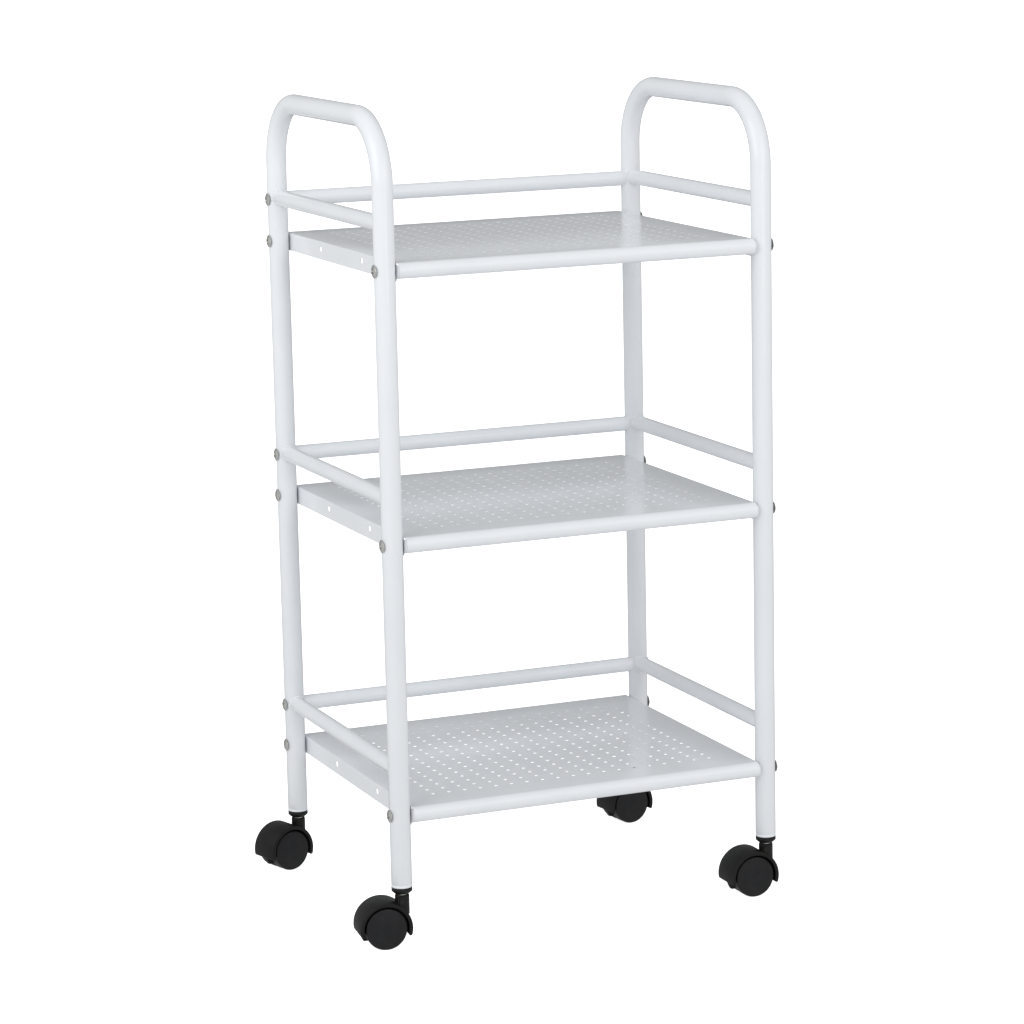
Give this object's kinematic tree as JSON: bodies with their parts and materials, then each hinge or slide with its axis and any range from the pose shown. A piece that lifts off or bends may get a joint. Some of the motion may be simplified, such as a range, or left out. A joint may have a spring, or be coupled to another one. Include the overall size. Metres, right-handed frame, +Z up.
{
  "type": "rolling trolley",
  "caption": "Three-shelf rolling salon trolley: bent-tube end frames with push handles, perforated shelves, rails and twin-wheel casters.",
  "frame": {"origin": "middle of the footprint on the floor, measured over the casters as they stand at rest", "axes": "+X to the trolley's right, +Y to its back, +Z up"},
  "size_m": [0.5581, 0.4182, 0.992],
  "materials": {
    "white_powder_coat": "glossy white powder coat",
    "white_shelf_coat": "glossy white powder coat on sheet",
    "zinc": "bright zinc plate",
    "spring_steel": "dull spring steel",
    "black_nylon": "fine-grained black nylon",
    "black_wheel": "satin black nylon",
    "black_socket": "black polyethylene"
  },
  "bodies": {
    "root": {"left_end_frame": "white_powder_coat", "left_top_side_rail": "white_powder_coat", "left_middle_side_rail": "white_powder_coat", "left_bottom_side_rail": "white_powder_coat", "right_end_frame": "white_powder_coat", "right_top_side_rail": "white_powder_coat", "right_middle_side_rail": "white_powder_coat", "right_bottom_side_rail": "white_powder_coat", "top_back_rail": "white_powder_coat", "middle_back_rail": "white_powder_coat", "bottom_back_rail": "white_powder_coat", "top_shelf": "white_shelf_coat", "top_shelf_screws": "zinc", "top_shelf_washers": "zinc", "top_shelf_nuts": "zinc", "middle_shelf": "white_shelf_coat", "middle_shelf_screws": "zinc", "middle_shelf_washers": "zinc", "middle_shelf_nuts": "zinc", "bottom_shelf": "white_shelf_coat", "bottom_shelf_screws": "zinc", "bottom_shelf_washers": "zinc", "bottom_shelf_nuts": "zinc", "back_rail_screws": "zinc", "back_rail_inserts": "zinc", "front_left_leg_socket": "black_socket", "front_left_caster_stem": "zinc", "front_left_grip_ring": "spring_steel", "front_right_leg_socket": "black_socket", "front_right_caster_stem": "zinc", "front_right_grip_ring": "spring_steel", "back_left_leg_socket": "black_socket", "back_left_caster_stem": "zinc", "back_left_grip_ring": "spring_steel", "back_right_leg_socket": "black_socket", "back_right_caster_stem": "zinc", "back_right_grip_ring": "spring_steel"},
    "front_left_caster": {"front_left_caster_body": "black_nylon", "front_left_caster_axle": "zinc"},
    "front_left_front_wheel": {"front_left_caster_front_wheel": "black_wheel"},
    "front_left_back_wheel": {"front_left_caster_back_wheel": "black_wheel"},
    "front_right_caster": {"front_right_caster_body": "black_nylon", "front_right_caster_axle": "zinc"},
    "front_right_front_wheel": {"front_right_caster_front_wheel": "black_wheel"},
    "front_right_back_wheel": {"front_right_caster_back_wheel": "black_wheel"},
    "back_left_caster": {"back_left_caster_body": "black_nylon", "back_left_caster_axle": "zinc"},
    "back_left_front_wheel": {"back_left_caster_front_wheel": "black_wheel"},
    "back_left_back_wheel": {"back_left_caster_back_wheel": "black_wheel"},
    "back_right_caster": {"back_right_caster_body": "black_nylon", "back_right_caster_axle": "zinc"},
    "back_right_front_wheel": {"back_right_caster_front_wheel": "black_wheel"},
    "back_right_back_wheel": {"back_right_caster_back_wheel": "black_wheel"}
  },
  "joints": [
    {"name": "front_left_swivel", "type": "hinge", "parent": "root", "child": "front_left_caster", "pos_m": [-0.2198, -0.18775, 0.0617], "axis": [0, 0, 1], "continuous": true},
    {"name": "front_left_front_wheel_spin", "type": "hinge", "parent": "front_left_caster", "child": "front_left_front_wheel", "pos_m": [-0.24362, -0.18482, 0.0254], "axis": [0.1219, 0.9925, 0], "continuous": true},
    {"name": "front_left_back_wheel_spin", "type": "hinge", "parent": "front_left_caster", "child": "front_left_back_wheel", "pos_m": [-0.24362, -0.18482, 0.0254], "axis": [0.1219, 0.9925, 0], "continuous": true},
    {"name": "front_right_swivel", "type": "hinge", "parent": "root", "child": "front_right_caster", "pos_m": [0.2632, -0.18775, 0.0617], "axis": [0, 0, 1], "continuous": true},
    {"name": "front_right_front_wheel_spin", "type": "hinge", "parent": "front_right_caster", "child": "front_right_front_wheel", "pos_m": [0.2392, -0.18775, 0.0254], "axis": [0, 1, 0], "continuous": true},
    {"name": "front_right_back_wheel_spin", "type": "hinge", "parent": "front_right_caster", "child": "front_right_back_wheel", "pos_m": [0.2392, -0.18775, 0.0254], "axis": [0, 1, 0], "continuous": true},
    {"name": "back_left_swivel", "type": "hinge", "parent": "root", "child": "back_left_caster", "pos_m": [-0.2198, 0.18775, 0.0617], "axis": [0, 0, 1], "continuous": true},
    {"name": "back_left_front_wheel_spin", "type": "hinge", "parent": "back_left_caster", "child": "back_left_front_wheel", "pos_m": [-0.24275, 0.18073, 0.0254], "axis": [-0.2924, 0.9563, 0], "continuous": true},
    {"name": "back_left_back_wheel_spin", "type": "hinge", "parent": "back_left_caster", "child": "back_left_back_wheel", "pos_m": [-0.24275, 0.18073, 0.0254], "axis": [-0.2924, 0.9563, 0], "continuous": true},
    {"name": "back_right_swivel", "type": "hinge", "parent": "root", "child": "back_right_caster", "pos_m": [0.2632, 0.18775, 0.0617], "axis": [0, 0, 1], "continuous": true},
    {"name": "back_right_front_wheel_spin", "type": "hinge", "parent": "back_right_caster", "child": "back_right_front_wheel", "pos_m": [0.23943, 0.18441, 0.0254], "axis": [-0.1392, 0.9903, 0], "continuous": true},
    {"name": "back_right_back_wheel_spin", "type": "hinge", "parent": "back_right_caster", "child": "back_right_back_wheel", "pos_m": [0.23943, 0.18441, 0.0254], "axis": [-0.1392, 0.9903, 0], "continuous": true}
  ]
}
